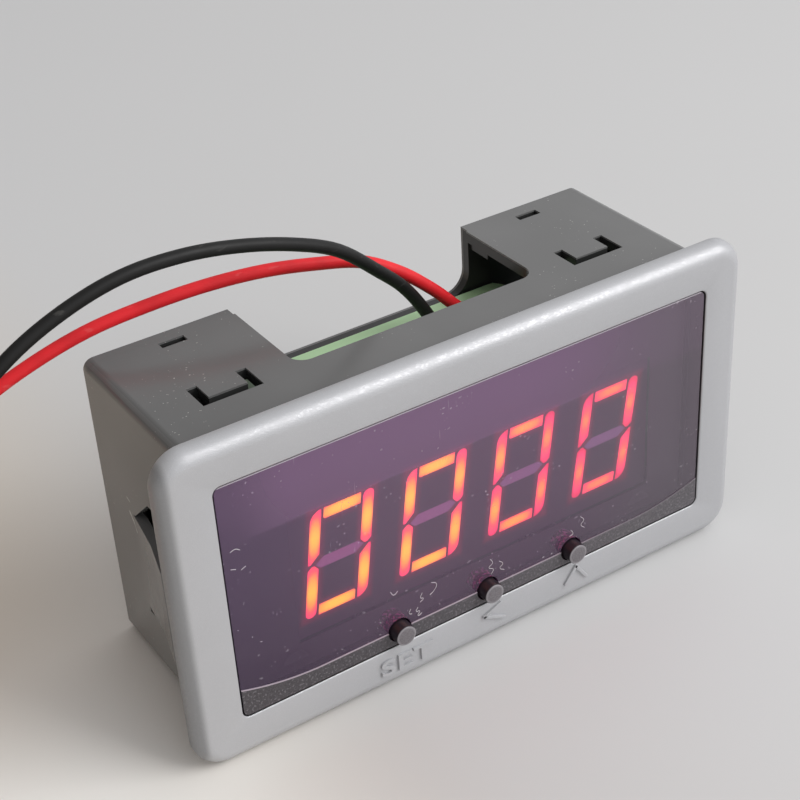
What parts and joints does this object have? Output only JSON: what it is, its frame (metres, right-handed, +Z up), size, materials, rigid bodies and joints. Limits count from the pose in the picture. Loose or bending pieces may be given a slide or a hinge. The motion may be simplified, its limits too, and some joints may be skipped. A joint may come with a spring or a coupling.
{
  "type": "digital panel meter",
  "caption": "Flush-mounting digital panel meter with LED digits behind a smoky lens, push buttons, side latches and a plug-in terminal block with two leads.",
  "frame": {"origin": "middle of the plane of the bezel's rear face, where it seats on the panel", "axes": "+X to the right seen from the front, +Y back into the panel, +Z up"},
  "size_m": [0.1333, 0.0591, 0.0563],
  "materials": {
    "bezel_silver": "silver-grey plastic with a fine metallic flake and a very fine grain",
    "smoky_lens": "smoky purple clear plastic, polished, with a fine-grained matte strip along the lower edge",
    "case_grey": "dark grey moulded plastic, smooth satin",
    "cover_grey": "dark grey moulded plastic, smooth satin",
    "board_green": "green solder mask",
    "module_face": "dark grey printed display face",
    "lit_segment": "lit orange-red diffuser, redder at its ends",
    "dark_segment": "unlit diffuser, seen purple through the lens",
    "tinned_pin": "tin-plated metal",
    "brass_pin": "plain spring brass",
    "screw_steel": "zinc-plated steel",
    "button_grey": "dark grey moulded plastic, lighter on the worn end face",
    "black_plastic": "black moulded plastic",
    "capacitor_sleeve": "dark sleeve over an aluminium can",
    "terminal_green": "pale green moulded plastic, slightly dusty",
    "black_insulation": "black wire insulation, satin with light scuffs",
    "red_insulation": "red wire insulation, satin"
  },
  "bodies": {
    "meter": {"front_bezel": "bezel_silver", "display_window": "smoky_lens", "case_body": "case_grey", "rear_cover": "cover_grey", "display_board": "board_green", "display_module": "module_face", "lit_segments": "lit_segment", "unlit_segments": "dark_segment", "display_pins": "tinned_pin", "switch_bases": "black_plastic", "switch_covers": "tinned_pin", "switch_domes": "brass_pin", "link_strips": "black_plastic", "link_pins": "brass_pin", "driver_chips": "black_plastic", "main_board": "board_green", "controller_chip": "black_plastic", "voltage_regulator": "black_plastic", "crystal": "tinned_pin", "capacitors": "capacitor_sleeve", "resistors": "black_plastic", "terminal_socket": "terminal_green", "socket_pins": "tinned_pin", "terminal_plug": "terminal_green", "terminal_clamps": "tinned_pin", "terminal_screws": "screw_steel", "black_wire": "black_insulation", "black_coil": "black_insulation", "black_strand": "tinned_pin", "red_wire": "red_insulation", "red_coil": "red_insulation", "red_strand": "tinned_pin"},
    "set_key": {"set_button": "button_grey"},
    "shift_key": {"shift_button": "button_grey"},
    "up_key": {"up_button": "button_grey"}
  },
  "joints": [
    {"name": "set_press", "type": "slide", "parent": "meter", "child": "set_key", "axis": [0, 1, 0], "range_m": [0, 0.00025], "stiffness_N_per_m": 2000, "springref_m": -0.00005},
    {"name": "shift_press", "type": "slide", "parent": "meter", "child": "shift_key", "axis": [0, 1, 0], "range_m": [0, 0.00025], "stiffness_N_per_m": 2000, "springref_m": -0.00005},
    {"name": "up_press", "type": "slide", "parent": "meter", "child": "up_key", "axis": [0, 1, 0], "range_m": [0, 0.00025], "stiffness_N_per_m": 2000, "springref_m": -0.00005}
  ]
}
